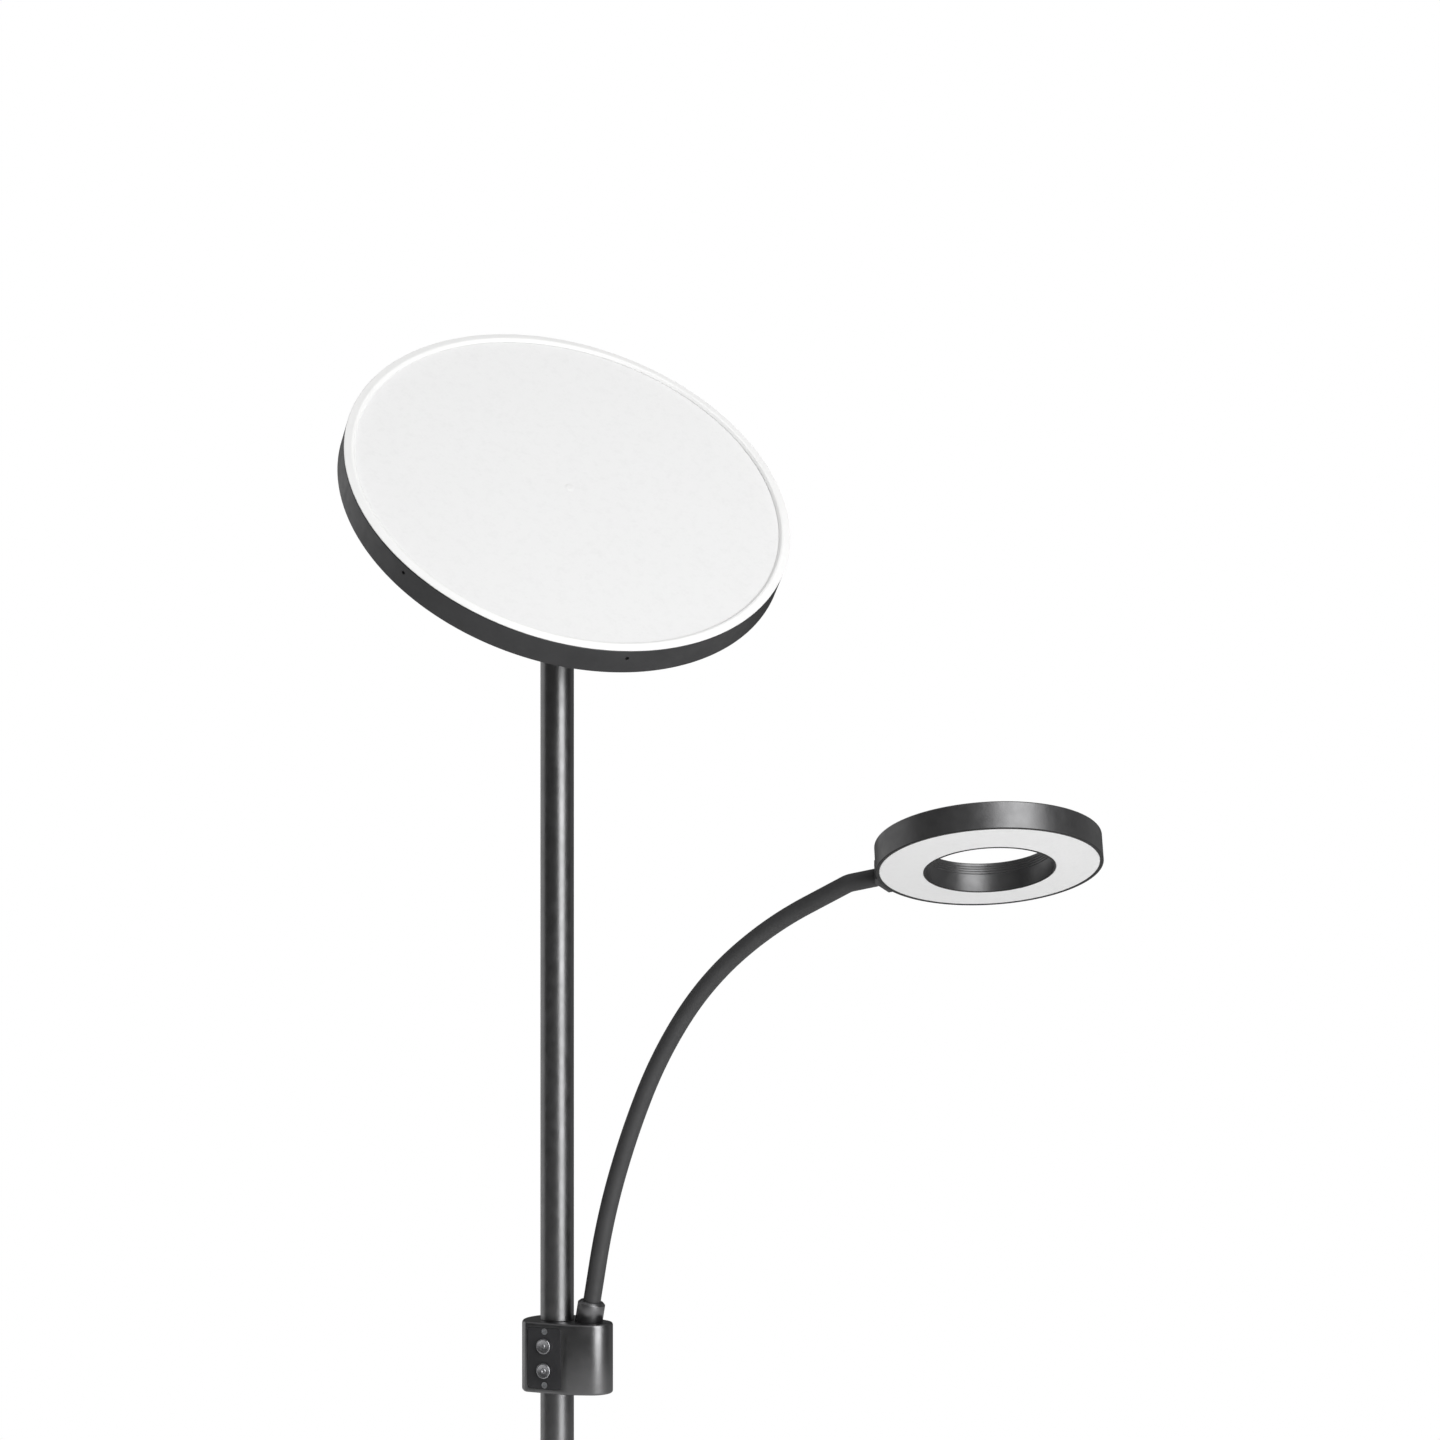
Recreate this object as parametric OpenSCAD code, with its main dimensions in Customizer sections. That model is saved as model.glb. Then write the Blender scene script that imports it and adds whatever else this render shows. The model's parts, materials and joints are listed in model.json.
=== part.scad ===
// Torchiere floor lamp with a tilting disc head and a gooseneck reading ring.
// Origin on the floor under the pole; +Z up; +X towards the reading arm.

/* [Pole] */
// Outer diameter of the pole tube
pole_d = 22; // [18:1:26]
// Wall thickness of the pole tube
pole_wall = 1.2; // [0.8:0.1:2]
// Height of the main head's tilt axis above the floor
pivot_height = 1719; // [1600:1:1800]
// Height of the hub's underside, where the lower pole ends
hub_bottom = 1150; // [1000:10:1180]

/* [Base] */
// Diameter of the round base
base_d = 270; // [250:5:320]
// Height of the base cover's top above the floor
base_top = 24; // [22:1:30]
// Diameter of the iron weight inside the base
weight_d = 216; // [200:2:230]

/* [Main head] */
// Outer diameter of the disc head
head_d = 300; // [260:5:340]
// Thickness of the head from its back to the edge of its face
head_thickness = 21.2; // [16:0.2:24]
// Distance from the tilt axis to the head's back
head_offset = 12.5; // [12.5:0.5:16]
// Tilt of the head from level at rest
head_tilt = 46.4; // [0:0.1:90]
// Direction that the tilted head faces, turned about the pole from the reading arm
head_turn = -41.5; // [-90:0.5:90]
// Width of the white bezel around the diffuser
bezel_w = 6.8; // [5:0.1:9]

/* [Reading head] */
// Outer diameter of the ring
ring_d = 141.8; // [130:0.2:160]
// Diameter of the hole through the ring
ring_hole_d = 80; // [70:1:90]
// Height of the ring's wall
ring_h = 17.6; // [14:0.1:20]
// Slope of the ring's bracket above level
ring_slope = 11.65; // [0:0.05:30]
// Roll of the ring about its bracket
ring_roll = -18.9; // [-45:0.1:45]

/* [Gooseneck] */
// Outer diameter of the neck
neck_d = 11.5; // [10:0.5:12]
// Length of one neck link
link_len = 58; // [50:1:64]
// Lean of the neck's root from vertical
neck_lean = 10; // [0:0.5:20]
// Bend of each neck link, from the hub outwards
link_bends = [7.3, 6, 11.3, 15.8, 12.8]; // [1:0.1:25]
// Straight length between the last link and the elbow
tip_len = 32.6; // [20:0.2:50]

/* [Hidden] */

$fn = 96;
charcoal = [0.16, 0.16, 0.17];
black = [0.08, 0.08, 0.09];
white = [0.95, 0.95, 0.94];
opal = [0.9, 0.91, 0.91];
steel = [0.7, 0.71, 0.73];
iron = [0.35, 0.35, 0.36];
board_white = [0.88, 0.9, 0.88];
board_green = [0.1, 0.4, 0.22];
led_yellow = [0.95, 0.85, 0.35];

pole_r = pole_d / 2;
pole_bore_r = pole_r - pole_wall;
plug_r = pole_bore_r - 0.05;
wire_r = 5;
running = 0.05;                 // radial clearance of a shaft that turns
gap = 0.3;                      // clearance between pieces that move past each other

// Base, from the floor up
felt_t = 3;
plate_t = 1.5;
plate_top = felt_t + plate_t;
base_r = base_d / 2;
cover_t = 1.5;
cover_bottom = felt_t + 0.2;
cover_edge_r = 4;
cover_inner_r = base_r - cover_t;
weight_r = weight_d / 2;
weight_top = base_top - cover_t;
well_r = 14;                    // recess under the weight for the nut
well_top = 12.5;
rod_r = 5;
rod_bore_r = 3.4;
rod_top = 44;
nut_h = 5;
washer_t = 1.5;
base_screw_ring = 80;
base_screw_r = 2;
base_screw_head_r = 3.8;
inlet_z = 11.5;
inlet_bore_r = 3.8;
grommet_r = 5;
grommet_flange_r = 6.2;
collar_floor = 4;
collar_h = 12;
pole_foot = base_top + collar_floor;

// Lower pole, three equal tubes joined by plugs
section_len = (hub_bottom - pole_foot) / 3;
plug_half = 30;

// Hub
hub_h = 46;
hub_top = hub_bottom + hub_h;
hub_r = 23;
boss_r = 13.5;
boss_x = 26;
hub_face = 18;                  // distance of the flat front from the pole's axis
cover_plate_t = 2;
cover_w = 25;
cover_h = 40;
spigot_len = 25;
hub_mid = hub_bottom + hub_h / 2;
button_pitch = 16;
button_r = 5;
button_proud = 2;
button_travel = 1.2;
hub_screw_dz = 17.5;
cavity_w = 21;
cavity_h = 30;
cavity_back = 7.2;
board_t = 1.4;
switch_h = 2.9;

// Gooseneck: each joint is a shallow ball in a cup
neck_r = neck_d / 2;
neck_bore_r = 3.2;
cup_r = neck_r + 0.75;
ball_r = cup_r - running;
neck_start = [25.1, 0, hub_top + 10.3];
root_len = 30;
root_depth = 14;
neck_collar_r = 9;
sweep_fn = 360;

function lean(k) = neck_lean + (k == 0 ? 0 : lean_sum(k - 1));
function lean_sum(k) = link_bends[k] + (k == 0 ? 0 : lean_sum(k - 1));
function link_radius(k) = link_len / (link_bends[k] * PI / 180);
function along(lean_deg, s) = [s * sin(lean_deg), 0, s * cos(lean_deg)];
function arc_step(k) = link_radius(k) * [cos(lean(k)) - cos(lean(k + 1)), 0, sin(lean(k + 1)) - sin(lean(k))];
function neck_joint(k) = k == 0 ? neck_start + along(neck_lean, root_len) : neck_joint(k - 1) + arc_step(k - 1);

tip_lean = lean(5);
elbow = neck_joint(5) + along(tip_lean, tip_len);
elbow_r = 18;                   // bend radius of the elbow's centre line
elbow_bend = 90 - ring_slope - tip_lean;
elbow_cut = elbow_r * tan(elbow_bend / 2);

// Reading ring, in its own frame: +X away from the neck, light towards -Z
ring_r = ring_d / 2;
ring_hole_r = ring_hole_d / 2;
ring_reach = 96.9;              // from the elbow to the ring's centre
ring_centre = elbow + ring_reach * [cos(ring_slope), 0, sin(ring_slope)];
ring_top_z = ring_h / 2;
ring_wall = 2.3;
ring_inner_wall = 1.2;
ring_lip = 1.75;                // the inner wall stands this much lower than the outer
ring_roof = 1.5;
ring_cone = 1.75;               // the diffuser's inner edge is this much lower
groove_depth = 0.4;
groove_w = 0.7;
groove_pitch = 1.6;
bracket_x = 76;                 // outer face of the bracket, from the ring's centre
bracket_h = 13;
bracket_foot_x = 66;
bracket_taper_x = 71.8;
roll_screw_x = 73.4;
stem_end_x = 63;                // inner end of the stem, inside the ring
stem_clip_x = 68.1;
stem_clip_r = 5.1;
stem_clip_bore_r = 4.53;
spigot_r = 4.5;
bracket_screw_y = 8;
bracket_screw_tip = 73.3;
bracket_screw_head = 67.7;

// Knuckle at the pole's top, in a frame at the tilt axis
pole_end = pivot_height - 24;
bush_flange = 1;
bush_len = 12;
spigot_top = 6;                 // radius of the swivel spigot
tongue_r = 8;
tongue_half = 7.95;
collar_top = -17;
ear_in = 9;
ear_out = 12;
pin_r = 3;

// Disc head, in a frame at the tilt axis with +Z out of its face
head_r = head_d / 2;
head_back = head_offset;
head_face = head_back + head_thickness;
pan_t = 1.5;
pan_edge_r = 1;                 // round of the back's outer edge
pan_top = head_face - 2;
bezel_side = 1.7;
bead_r = 1.6;
bezel_inner_r = head_r - bezel_w;
skirt_out = head_r - pan_t - 0.1;
skirt_in = skirt_out - 2;
diffuser_r = skirt_in - 0.2;
diffuser_t = 2;
board_r = diffuser_r - 0.2;
head_board_t = 1.6;
head_board_in = 26;
rim_screw_z = head_face - 8;
rim_screw_r = 1.25;
rim_screw_start = 0.4;

// ---- placing ----

module on_hub_front(dz) translate([0, -hub_face, hub_mid + dz]) rotate([-90, 0, 0]) children();
module on_neck_root() translate(neck_start) rotate([0, neck_lean, 0]) children();
module on_ring() translate(ring_centre) rotate([0, -ring_slope, 0]) rotate([ring_roll, 0, 0]) children();
module on_swivel() translate([0, 0, pivot_height]) rotate([0, 0, head_turn]) children();
module on_head() on_swivel() rotate([0, head_tilt, 0]) children();
module around(count, radius, start = 0)
    for (i = [0:count - 1]) rotate([0, 0, start + i * 360 / count]) translate([radius, 0, 0]) children();

module tube(outer_r, inner_r, h) difference() {
    cylinder(r = outer_r, h = h);
    translate([0, 0, -1]) cylinder(r = inner_r, h = h + 2);
}

// ---- base ----

module base_felt() color(black) cylinder(r = cover_inner_r - 2, h = felt_t);

module base_plate() color(charcoal) translate([0, 0, felt_t]) difference() {
    cylinder(r = cover_inner_r - 0.5, h = plate_t);
    translate([0, 0, -1]) cylinder(r = 18, h = plate_t + 2);
    around(4, base_screw_ring, 45)
        cylinder(r1 = base_screw_head_r + 0.1, r2 = base_screw_r + 0.1, h = plate_t, $fn = 32);
}

module base_screws() color(steel) around(4, base_screw_ring, 45) translate([0, 0, felt_t]) difference() {
    union() {
        cylinder(r1 = base_screw_head_r, r2 = base_screw_r, h = plate_t, $fn = 32);
        cylinder(r = base_screw_r, h = 9, $fn = 32);
    }
    translate([-2, -0.4, -1]) cube([4, 0.8, 1.9]);
    translate([-0.4, -2, -1]) cube([0.8, 4, 1.9]);
}

module base_weight() color(iron) difference() {
    translate([0, 0, plate_top]) cylinder(r = weight_r, h = weight_top - plate_top);
    cylinder(r = rod_r + 0.1, h = base_top);
    cylinder(r = well_r, h = well_top);
    translate([-5, 0, 0]) cube([10, weight_r + 1, well_top]);
    around(4, base_screw_ring, 45) cylinder(r = base_screw_r, h = 13, $fn = 32);
}

module cover_section(r, top, edge) {
    square([r - edge, top]);
    square([r, top - edge]);
    translate([r - edge, top - edge]) circle(edge);
}

module base_cover() color(charcoal) difference() {
    rotate_extrude() difference() {
        cover_section(base_r, base_top, cover_edge_r);
        cover_section(cover_inner_r, base_top - cover_t, cover_edge_r - cover_t);
        square([rod_r + 0.1, base_top + 1]);
        translate([0, -1]) square([base_r + 1, cover_bottom + 1]);
    }
    translate([0, base_r - 6, inlet_z]) rotate([-90, 0, 0]) cylinder(r = grommet_r, h = 12, $fn = 48);
}

module cord_grommet() color(black) translate([0, 0, inlet_z]) rotate([-90, 0, 0]) difference() {
    union() {
        translate([0, 0, base_r - 7]) cylinder(r = grommet_r, h = 9.5, $fn = 48);
        translate([0, 0, base_r]) cylinder(r = grommet_flange_r, h = 2, $fn = 48);
        translate([0, 0, base_r - 4]) cylinder(r = grommet_flange_r, h = 2, $fn = 48);
    }
    translate([0, 0, base_r - 8]) cylinder(r = inlet_bore_r, h = 12, $fn = 48);
}

module threaded_rod() color(steel) translate([0, 0, 6]) tube(rod_r, rod_bore_r, rod_top - 6);

module rod_washer() color(steel) translate([0, 0, well_top - washer_t]) tube(12, rod_r, washer_t);

module rod_nut() color(steel) translate([0, 0, well_top - washer_t - nut_h]) difference() {
    cylinder(r = 9.8, h = nut_h, $fn = 6);
    translate([0, 0, -1]) cylinder(r = rod_r, h = nut_h + 2);
}

module base_collar() color(charcoal) translate([0, 0, base_top]) rotate_extrude() difference() {
    union() {
        square([15, collar_h]);
        square([17, collar_h - 2]);
        translate([15, collar_h - 2]) circle(2, $fn = 48);
    }
    translate([0, -1]) square([rod_r, collar_h]);
    translate([0, collar_floor]) square([pole_r, collar_h]);
}

module foot_coupler() color(steel) translate([0, 0, pole_foot]) tube(plug_r, rod_r, plug_half);

// ---- pole ----

module pole_section(z, len) color(charcoal) translate([0, 0, z]) tube(pole_r, pole_bore_r, len);

module pole_couplers() color(steel)
    for (i = [1, 2]) translate([0, 0, pole_foot + i * section_len - plug_half]) tube(plug_r, wire_r, 2 * plug_half);

// ---- hub ----

module hub_outline() {
    spread = acos((hub_r - boss_r) / boss_x);
    tangent = [cos(spread), sin(spread)];
    circle(hub_r);
    translate([boss_x, 0]) circle(boss_r);
    polygon([
        [hub_r * tangent[0], hub_r * tangent[1]],
        [boss_x + boss_r * tangent[0], boss_r * tangent[1]],
        [boss_x + boss_r * tangent[0], -boss_r * tangent[1]],
        [hub_r * tangent[0], -hub_r * tangent[1]]
    ]);
}

module hub_body() color(charcoal) difference() {
    union() {
        translate([0, 0, hub_bottom]) linear_extrude(hub_h) difference() {
            hub_outline();
            translate([-hub_r, -hub_r - hub_face]) square([3 * hub_r, hub_r]);
        }
        translate([0, 0, hub_bottom - spigot_len]) cylinder(r = plug_r, h = hub_h + 2 * spigot_len);
    }
    translate([0, 0, hub_bottom - spigot_len - 1]) cylinder(r = wire_r, h = hub_h + 2 * spigot_len + 2);
    translate([-cover_w / 2, -hub_face - 1, hub_mid - cover_h / 2]) cube([cover_w, 1 + cover_plate_t, cover_h]);
    translate([-cavity_w / 2, -hub_face, hub_mid - cavity_h / 2])
        cube([cavity_w, hub_face - cavity_back, cavity_h]);
    translate([0, 0, hub_mid]) rotate([90, 0, 0]) cylinder(r = 3, h = 10, $fn = 48);
    for (side = [-1, 1]) on_hub_front(side * hub_screw_dz) cylinder(r = 1.25, h = 8, $fn = 32);
    on_neck_root() translate([0, 0, -root_depth]) cylinder(r = neck_collar_r, h = root_depth + 20);
    on_neck_root() translate([0, 0, -root_depth - 8]) cylinder(r = 3, h = 20, $fn = 48);
    translate([0, 0, hub_top - 16]) rotate([0, 90, 0]) cylinder(r = 3, h = neck_start[0] - 2, $fn = 48);
}

module hub_cover() color(black) difference() {
    translate([-cover_w / 2 + 0.1, -hub_face, hub_mid - cover_h / 2 + 0.1])
        cube([cover_w - 0.2, cover_plate_t, cover_h - 0.2]);
    for (side = [-1, 1]) {
        on_hub_front(side * button_pitch / 2) translate([0, 0, -1]) cylinder(r = button_r + 0.1, h = 4);
        on_hub_front(side * hub_screw_dz) translate([0, 0, -1]) cylinder(r = 1.35, h = 4, $fn = 32);
        on_hub_front(side * hub_screw_dz) translate([0, 0, -1]) cylinder(r = 2.2, h = 2, $fn = 32);
    }
}

module hub_screws() color(steel) for (side = [-1, 1]) on_hub_front(side * hub_screw_dz) difference() {
    union() {
        translate([0, 0, 0.1]) cylinder(r = 2.1, h = 0.9, $fn = 32);
        cylinder(r = 1.25, h = 7.5, $fn = 32);
    }
    translate([-1.5, -0.3, -0.5]) cube([3, 0.6, 1.1]);
    translate([-0.3, -1.5, -0.5]) cube([0.6, 3, 1.1]);
}

module control_board() color(board_green)
    translate([-9.5, -cavity_back - board_t, hub_mid - 14]) cube([19, board_t, 28]);

module push_switches() color(black) for (side = [-1, 1]) on_hub_front(side * button_pitch / 2) {
    plunger = hub_face - cavity_back - board_t - switch_h;
    translate([-3, -3, plunger + 1]) cube([6, 6, switch_h - 1]);
    translate([0, 0, plunger]) cylinder(r = 1.7, h = 1.5, $fn = 32);
}

module button(dz) color(steel) on_hub_front(dz) {
    flange = cover_plate_t + gap;
    stem_end = hub_face - cavity_back - board_t - switch_h - gap - button_travel;
    translate([0, 0, -button_proud]) cylinder(r = button_r, h = button_proud + flange + 0.5);
    translate([0, 0, flange]) cylinder(r = button_r + 1, h = 1);
    translate([0, 0, flange]) cylinder(r = 2, h = stem_end - flange, $fn = 32);
}

// ---- gooseneck ----

module neck_collar() color(charcoal) on_neck_root() translate([0, 0, -root_depth]) difference() {
    union() {
        cylinder(r = neck_collar_r, h = root_depth + 2);
        translate([0, 0, root_depth + 2]) cylinder(r1 = neck_collar_r, r2 = neck_collar_r - 1.5, h = 1.5);
    }
    translate([0, 0, -1]) cylinder(r = neck_r, h = root_depth + 10);
}

module neck_root() color(black) on_neck_root() difference() {
    translate([0, 0, -root_depth]) tube(neck_r, neck_bore_r, root_depth + root_len);
    translate([0, 0, root_len]) sphere(cup_r);
}

module bent_rod(k, r) translate([link_radius(k), 0, 0]) mirror([1, 0, 0]) rotate([90, 0, 0])
    rotate_extrude(angle = link_bends[k], $fn = sweep_fn) translate([link_radius(k), 0]) circle(r, $fn = 48);

module ball_end() intersection() {
    translate([0, 0, -cup_r]) cylinder(r = neck_r, h = cup_r);
    sphere(ball_r);
}

module neck_link(k) color(black) difference() {
    translate(neck_joint(k)) rotate([0, lean(k), 0]) difference() {
        union() {
            bent_rod(k, neck_r);
            ball_end();
        }
        bent_rod(k, neck_bore_r);
        translate([0, 0, -cup_r - 1]) cylinder(r = neck_bore_r, h = cup_r + 1, $fn = 48);
    }
    if (k < 4) translate(neck_joint(k + 1)) sphere(cup_r);
}

module neck_tip() color(black) translate(neck_joint(5)) rotate([0, tip_lean, 0])
    tube(neck_r, neck_bore_r, tip_len - elbow_cut);

module neck_elbow() color(black) translate(elbow - along(tip_lean, elbow_cut)) rotate([0, tip_lean, 0])
    translate([elbow_r, 0, 0]) mirror([1, 0, 0]) rotate([90, 0, 0])
    rotate_extrude(angle = elbow_bend, $fn = sweep_fn) translate([elbow_r, 0]) difference() {
        circle(neck_r, $fn = 48);
        circle(neck_bore_r, $fn = 48);
    }

module ring_stem() color(black) translate(elbow) rotate([0, 90 - ring_slope, 0]) difference() {
    union() {
        translate([0, 0, elbow_cut]) cylinder(r = neck_r, h = ring_reach - bracket_x - gap - elbow_cut);
        translate([0, 0, elbow_cut]) cylinder(r = spigot_r, h = ring_reach - stem_end_x - elbow_cut);
    }
    cylinder(r = 2.5, h = ring_reach);
}

module stem_clip() color(steel) translate(ring_centre) rotate([0, 90 - ring_slope, 0])
    translate([0, 0, -stem_clip_x]) tube(stem_clip_r, stem_clip_bore_r, 0.8);

// ---- reading ring ----

// The bracket has one square end and one that tapers into the ring's wall
module ring_bracket() color(black) on_ring() difference() {
    translate([0, 0, -bracket_h / 2]) linear_extrude(bracket_h) polygon([
        [-bracket_x, -neck_r],
        [-bracket_x, 14],
        [-bracket_foot_x, 14],
        [-bracket_foot_x, -14.5],
        [-bracket_taper_x, -14.5]
    ]);
    translate([0, 0, -ring_h]) cylinder(r = ring_r, h = 2 * ring_h);
    stem_bore();
    translate([-roll_screw_x, 0, 0]) cylinder(r = 1.5, h = bracket_h, $fn = 32);
    at_bracket_screws() cylinder(r = 1.25, h = 12, $fn = 32);
}

module stem_bore() translate([-bracket_x - 1, 0, 0]) rotate([0, 90, 0])
    cylinder(r = spigot_r + running, h = bracket_x + 1 - stem_end_x);

module at_bracket_screws() for (side = [-1, 1])
    translate([-bracket_screw_tip, side * bracket_screw_y, 0]) rotate([0, 90, 0]) children();

module roll_screw() color(steel) on_ring() translate([-roll_screw_x, 0, 4.75]) difference() {
    cylinder(r = 1.5, h = bracket_h / 2 - 4.75 - 0.2, $fn = 32);
    translate([0, 0, 0.8]) cylinder(r = 0.75, h = 2, $fn = 6);
}

module ring_bracket_screws() color(steel) on_ring() at_bracket_screws() {
    cylinder(r = 1.25, h = 6, $fn = 32);
    translate([0, 0, bracket_screw_tip - bracket_screw_head]) cylinder(r = 2.4, h = 1.5, $fn = 32);
}

module ring_section() {
    difference() {
        translate([ring_hole_r, -ring_top_z]) square([ring_r - ring_hole_r, ring_h]);
        translate([ring_hole_r + ring_inner_wall, -ring_top_z - 1])
            square([ring_r - ring_hole_r - ring_inner_wall - ring_wall, ring_h - ring_roof + 1]);
        for (i = [0:3]) translate([ring_hole_r - 0.1, ring_top_z - 2.2 - i * groove_pitch])
            square([groove_depth + 0.1, groove_w]);
    }
    translate([ring_hole_r, -ring_top_z - ring_lip]) square([ring_inner_wall, ring_lip]);
}

module ring_housing() color(charcoal) on_ring() difference() {
    rotate_extrude($fn = 144) ring_section();
    stem_bore();
    at_bracket_screws() cylinder(r = 1.3, h = 8, $fn = 32);
}

module ring_led_board() color(board_white) on_ring()
    translate([0, 0, ring_top_z - ring_roof - 1.2]) tube(66, ring_hole_r + 2.5, 1.2);

module ring_leds() color(led_yellow) on_ring() around(24, 54)
    translate([-1.4, -1.75, ring_top_z - ring_roof - 1.9]) cube([2.8, 3.5, 0.7]);

module ring_diffuser() color(opal) on_ring() rotate_extrude($fn = 144) polygon([
    [ring_hole_r + ring_inner_wall + 0.1, -ring_top_z - ring_lip + 0.2],
    [ring_hole_r + ring_inner_wall + 0.1, -ring_top_z - ring_lip + 2.2],
    [ring_r - ring_wall - 0.1, -ring_top_z - ring_lip + 2.2 + ring_cone],
    [ring_r - ring_wall - 0.1, -ring_top_z - ring_lip + 0.2 + ring_cone]
]);

// ---- swivel and tilt ----

module swivel_bush() color(black) difference() {
    union() {
        translate([0, 0, pole_end - bush_len]) cylinder(r = plug_r, h = bush_len);
        translate([0, 0, pole_end]) cylinder(r = pole_r - 0.2, h = bush_flange);
    }
    translate([0, 0, pole_end - bush_len - 1]) cylinder(r = spigot_top + running, h = bush_len + 4);
}

module swivel_clip() color(steel)
    translate([0, 0, pole_end - bush_len - gap - 1.2]) tube(8.5, spigot_top, 1.2);

module head_knuckle() color(charcoal) on_swivel() difference() {
    spigot_bottom = pole_end - pivot_height - bush_len - 6;
    collar_bottom = pole_end - pivot_height + bush_flange + gap;
    union() {
        translate([0, 0, spigot_bottom]) cylinder(r = spigot_top, h = collar_bottom - spigot_bottom);
        translate([0, 0, collar_bottom]) cylinder(r = pole_r, h = collar_top - collar_bottom);
        translate([-7, -tongue_half, collar_top]) cube([14, 2 * tongue_half, -collar_top]);
        translate([0, tongue_half, 0]) rotate([90, 0, 0]) cylinder(r = tongue_r, h = 2 * tongue_half);
    }
    translate([0, tongue_half + 1, 0]) rotate([90, 0, 0]) cylinder(r = pin_r + running, h = 2 * tongue_half + 2);
    translate([0, 0, spigot_bottom - 1]) cylinder(r = 2.5, h = collar_top + 6 - spigot_bottom, $fn = 48);
    translate([0, 0, collar_top + 4]) rotate([0, 90, 0]) cylinder(r = 2, h = 10, $fn = 48);
}

module ear(y) {
    translate([0, y + ear_out - ear_in, 0]) rotate([90, 0, 0]) cylinder(r = tongue_r, h = ear_out - ear_in);
    translate([-tongue_r, y, 0]) cube([2 * tongue_r, ear_out - ear_in, head_back - 2]);
}

module tilt_bracket() color(charcoal) on_head() difference() {
    union() {
        translate([-14, -20, head_back - 2]) cube([28, 40, 2]);
        ear(ear_in);
        ear(-ear_out);
    }
    translate([0, ear_out + 1, 0]) rotate([90, 0, 0]) cylinder(r = pin_r + running, h = 2 * ear_out + 2);
    cylinder(r = 4, h = head_back + 1, $fn = 48);
    for (x = [-9, 9], y = [-16, 16]) translate([x, y, 0]) cylinder(r = 1.6, h = head_back + 1, $fn = 32);
}

module tilt_bolt() color(steel) on_head() difference() {
    rotate([90, 0, 0]) {
        translate([0, 0, -ear_out - 4]) cylinder(r = pin_r, h = 2 * ear_out + 4);
        translate([0, 0, ear_out]) cylinder(r = 5.5, h = 4);
    }
    translate([0, -ear_out - 1.5, 0]) rotate([90, 0, 0]) cylinder(r = 2.3, h = 4, $fn = 6);
}

module tilt_nut() color(steel) on_head() translate([0, ear_out + 4.5, 0]) rotate([90, 0, 0]) difference() {
    cylinder(r = 5.8, h = 4.5, $fn = 6);
    translate([0, 0, -1]) cylinder(r = pin_r, h = 7);
}

module tilt_washers() color(steel) on_head() for (side = [-1, 1])
    translate([0, side * (ear_in - 0.375) + 0.375, 0]) rotate([90, 0, 0]) tube(7.5, pin_r + running, 0.75);

module bracket_rivets() color(steel) on_head() for (x = [-9, 9], y = [-16, 16]) translate([x, y, 0]) {
    translate([0, 0, head_back - 3.2]) cylinder(r = 2.8, h = 1.2, $fn = 32);
    translate([0, 0, head_back - 3]) cylinder(r = 1.6, h = 5, $fn = 32);
    translate([0, 0, head_back + pan_t]) cylinder(r = 2.8, h = 1, $fn = 32);
}

// ---- main head ----

module head_pan() color(charcoal) on_head() difference() {
    rotate_extrude($fn = 180) difference() {
        union() {
            translate([0, head_back]) square([head_r - pan_edge_r, pan_top - head_back]);
            translate([0, head_back + pan_edge_r]) square([head_r, pan_top - head_back - pan_edge_r]);
            translate([head_r - pan_edge_r, head_back + pan_edge_r]) circle(pan_edge_r, $fn = 48);
        }
        translate([0, head_back + pan_t]) square([head_r - pan_t, head_thickness]);
        square([4, head_face]);
    }
    for (x = [-9, 9], y = [-16, 16]) translate([x, y, 0]) cylinder(r = 1.6, h = head_face, $fn = 32);
    around(6, head_r - 3, rim_screw_start) translate([0, 0, rim_screw_z]) rotate([0, 90, 0])
        cylinder(r = rim_screw_r + 0.05, h = 6, $fn = 32);
}

module head_led_board() color(board_white) on_head()
    translate([0, 0, head_back + pan_t]) tube(board_r, head_board_in, head_board_t);

module head_leds() color(led_yellow) on_head() for (row = [1:4])
    around(8 * row, 12 + 28 * row) translate([-1.4, -1.75, head_back + pan_t + head_board_t]) cube([2.8, 3.5, 0.7]);

module head_spacer() color(white) on_head() translate([0, 0, head_back + pan_t + head_board_t])
    tube(diffuser_r, diffuser_r - 2, pan_top - diffuser_t - head_back - pan_t - head_board_t);

module head_diffuser() color(opal) on_head()
    translate([0, 0, pan_top - diffuser_t]) cylinder(r = diffuser_r, h = diffuser_t, $fn = 180);

module head_bezel() color(white) on_head() difference() {
    rotate_extrude($fn = 180) {
        translate([bezel_inner_r, pan_top]) square([bezel_w, bezel_side]);
        for (r = [bezel_inner_r + bead_r, head_r - bead_r])
            translate([r, pan_top + bezel_side]) circle(bead_r, $fn = 48);
        translate([bezel_inner_r + bead_r, pan_top]) square([bezel_w - 2 * bead_r, bezel_side + bead_r]);
        translate([skirt_in, rim_screw_z - 4]) square([skirt_out - skirt_in, pan_top - rim_screw_z + 4.5]);
    }
    around(6, skirt_in - 1, rim_screw_start) translate([0, 0, rim_screw_z]) rotate([0, 90, 0])
        cylinder(r = rim_screw_r, h = 6, $fn = 32);
}

module rim_screws() color(black) on_head() around(6, skirt_in, rim_screw_start)
    translate([0, 0, rim_screw_z]) rotate([0, 90, 0]) difference() {
        cylinder(r = rim_screw_r, h = head_r - skirt_in - 0.5, $fn = 32);
        translate([0, 0, head_r - skirt_in - 1.4]) cylinder(r = 0.6, h = 2, $fn = 6);
    }

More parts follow.
